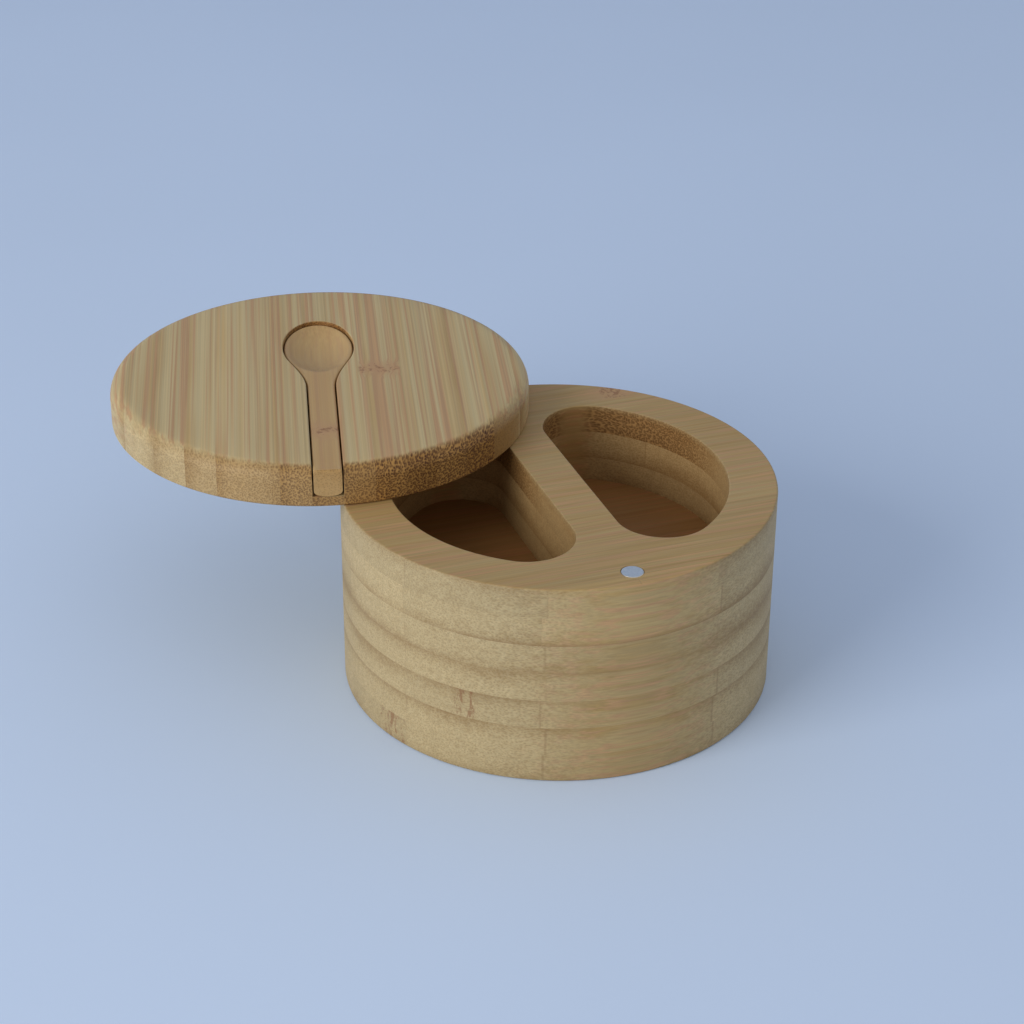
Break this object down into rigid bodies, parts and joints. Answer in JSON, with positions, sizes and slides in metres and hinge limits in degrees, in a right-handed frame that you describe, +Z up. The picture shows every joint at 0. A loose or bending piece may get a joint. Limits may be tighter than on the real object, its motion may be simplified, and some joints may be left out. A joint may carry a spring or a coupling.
{
  "type": "salt box",
  "caption": "Round laminated bamboo salt box with divided wells, a lid that swivels on a hidden pin, magnets that hold it shut, and a spoon laid in the lid.",
  "frame": {"origin": "centre of the base's underside", "axes": "+Z up; the pivot pin is on +Y and the base's magnet on -Y; the grain of the base runs along X"},
  "size_m": [0.1695, 0.1833, 0.0705],
  "materials": {
    "light_board": "light bamboo board, sanded and oiled",
    "dark_board": "darker bamboo board, sanded and oiled",
    "light_stave": "light bamboo stave, sanded and oiled",
    "dark_stave": "darker bamboo stave, sanded and oiled",
    "spoon_wood": "smooth bamboo",
    "steel": "ground steel",
    "nickel": "bright nickel plate"
  },
  "bodies": {
    "base": {"base_board_1": "light_board", "base_board_2": "dark_board", "base_board_3": "light_board", "base_board_4": "dark_board", "base_board_5": "light_board", "base_board_6": "dark_board", "base_board_7": "light_board", "pivot_pin": "steel", "base_magnet": "nickel"},
    "lid": {"lid_stave_middle": "dark_stave", "lid_stave_front_1": "light_stave", "lid_stave_front_2": "dark_stave", "lid_stave_front_3": "light_stave", "lid_stave_front_4": "dark_stave", "lid_stave_front_5": "light_stave", "lid_stave_front_6": "dark_stave", "lid_stave_back_1": "light_stave", "lid_stave_back_2": "dark_stave", "lid_stave_back_3": "light_stave", "lid_stave_back_4": "dark_stave", "lid_stave_back_5": "light_stave", "lid_stave_back_6": "dark_stave", "lid_edge_strip_front": "light_stave", "lid_edge_strip_back": "light_stave", "lid_magnet": "nickel"},
    "spoon": {"spoon": "spoon_wood"}
  },
  "joints": [
    {"name": "lid_swivel", "type": "hinge", "parent": "base", "child": "lid", "pos_m": [0, 0.051, 0.0588], "axis": [0, 0, 1], "continuous": true},
    {"name": "spoon_lift", "type": "slide", "parent": "lid", "child": "spoon", "axis": [0, 0, 1], "range_m": [0, 0.04]}
  ]
}
